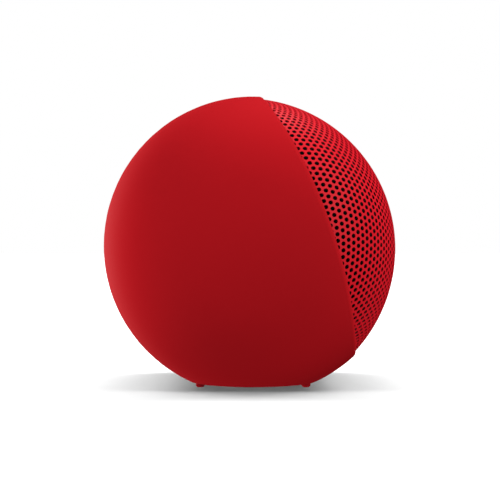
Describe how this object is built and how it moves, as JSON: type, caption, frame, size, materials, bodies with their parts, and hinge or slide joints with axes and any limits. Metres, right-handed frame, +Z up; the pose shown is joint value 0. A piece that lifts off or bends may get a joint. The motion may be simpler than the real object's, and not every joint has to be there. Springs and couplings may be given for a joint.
{
  "type": "portable speaker",
  "caption": "Capsule-shaped portable speaker in a soft skin, with a tilted perforated grille, rubber foot rails, top keys, a charging port and a lanyard bar.",
  "frame": {"origin": "under the middle of the speaker, on the surface that its foot rails stand on", "axes": "+X along the speaker's length, -Y out of the front, +Z up"},
  "size_m": [0.219, 0.0708, 0.071],
  "materials": {
    "soft_skin": "matte soft-touch",
    "housing_plastic": "moulded, fine grain",
    "grille_paint": "satin paint on perforated steel",
    "cloth": "open black weave",
    "foam": "closed-cell foam",
    "foot_rubber": "matte",
    "screw_steel": "black zinc",
    "basket_plastic": "satin",
    "roll_rubber": "smooth",
    "cone_paper": "pressed pulp",
    "foil": "thin, satin",
    "polyimide": "amber film",
    "copper_wire": "enamelled copper",
    "spider_cloth": "resin-dipped weave",
    "plated_steel": "zinc plated",
    "magnet": "nickel plated",
    "plate_metal": "satin black",
    "cell_wrap": "shrink sleeve",
    "nickel": "bare nickel",
    "board": "solder mask",
    "components": "moulded epoxy",
    "port_steel": "stainless",
    "port_plastic": "fine grain",
    "key_rubber": "matte soft-touch",
    "light_pipe": "frosted clear",
    "led": "clear-topped",
    "wire_black": "sleeved"
  },
  "bodies": {
    "speaker_body": {"outer_skin": "soft_skin", "rear_housing": "housing_plastic", "baffle_gasket": "foam", "front_baffle": "housing_plastic", "front_grille": "grille_paint", "acoustic_cloth": "cloth", "baffle_screws": "screw_steel", "foot_rail_front": "foot_rubber", "foot_rail_rear": "foot_rubber", "woofer_basket": "basket_plastic", "woofer_surround": "roll_rubber", "woofer_spider": "spider_cloth", "woofer_pole_plate": "plated_steel", "woofer_magnet": "magnet", "woofer_yoke": "plated_steel", "woofer_terminal": "nickel", "tweeter_frame": "basket_plastic", "tweeter_surround": "roll_rubber", "tweeter_yoke": "plated_steel", "tweeter_magnet": "magnet", "radiator_frame_left": "basket_plastic", "radiator_surround_left": "roll_rubber", "radiator_frame_right": "basket_plastic", "radiator_surround_right": "roll_rubber", "driver_screws": "screw_steel", "battery_cells": "cell_wrap", "battery_cradle": "housing_plastic", "battery_clamp": "housing_plastic", "battery_tab": "nickel", "main_board": "board", "board_components": "components", "board_screws": "screw_steel", "usb_receptacle": "port_steel", "usb_tongue": "port_plastic", "usb_bezel": "port_plastic", "usb_board": "board", "key_board": "board", "key_switches": "components", "key_bracket": "housing_plastic", "status_light_pipe": "light_pipe", "status_led": "led", "microphone": "port_steel", "lanyard_cup": "port_plastic", "lanyard_bar": "port_steel", "speaker_leads": "wire_black", "battery_leads": "wire_black", "key_cable": "wire_black"},
    "power_key_body": {"power_key": "key_rubber"},
    "volume_down_key_body": {"volume_down_key": "key_rubber"},
    "play_key_body": {"play_key": "key_rubber"},
    "volume_up_key_body": {"volume_up_key": "key_rubber"},
    "woofer_cone_assembly": {"woofer_cone": "cone_paper", "woofer_dust_cap": "cone_paper", "woofer_coil_former": "polyimide", "woofer_winding": "copper_wire"},
    "tweeter_dome_assembly": {"tweeter_dome": "foil", "tweeter_coil": "copper_wire"},
    "radiator_left": {"radiator_plate_left": "plate_metal"},
    "radiator_right": {"radiator_plate_right": "plate_metal"}
  },
  "joints": [
    {"name": "power_press", "type": "slide", "parent": "speaker_body", "child": "power_key_body", "axis": [0, -0.2419, -0.9703], "range_m": [0, 0.0005], "stiffness_N_per_m": 4000, "springref_m": -0.0001},
    {"name": "volume_down_press", "type": "slide", "parent": "speaker_body", "child": "volume_down_key_body", "axis": [0, -0.2419, -0.9703], "range_m": [0, 0.0005], "stiffness_N_per_m": 4000, "springref_m": -0.0001},
    {"name": "play_press", "type": "slide", "parent": "speaker_body", "child": "play_key_body", "axis": [0, -0.2419, -0.9703], "range_m": [0, 0.0005], "stiffness_N_per_m": 4000, "springref_m": -0.0001},
    {"name": "volume_up_press", "type": "slide", "parent": "speaker_body", "child": "volume_up_key_body", "axis": [0, -0.2419, -0.9703], "range_m": [0, 0.0005], "stiffness_N_per_m": 4000, "springref_m": -0.0001},
    {"name": "woofer_excursion", "type": "slide", "parent": "speaker_body", "child": "woofer_cone_assembly", "axis": [0, -0.9397, 0.342], "range_m": [-0.002, 0.002], "stiffness_N_per_m": 2000, "deforming": ["woofer_surround", "woofer_spider"]},
    {"name": "tweeter_excursion", "type": "slide", "parent": "speaker_body", "child": "tweeter_dome_assembly", "axis": [0, -0.9397, 0.342], "range_m": [-0.0003, 0.0003], "stiffness_N_per_m": 5000, "deforming": ["tweeter_surround"]},
    {"name": "radiator_left_excursion", "type": "slide", "parent": "speaker_body", "child": "radiator_left", "axis": [0, -0.9397, 0.342], "range_m": [-0.0025, 0.0025], "stiffness_N_per_m": 1500, "deforming": ["radiator_surround_left"]},
    {"name": "radiator_right_excursion", "type": "slide", "parent": "speaker_body", "child": "radiator_right", "axis": [0, -0.9397, 0.342], "range_m": [-0.0025, 0.0025], "stiffness_N_per_m": 1500, "deforming": ["radiator_surround_right"]}
  ]
}
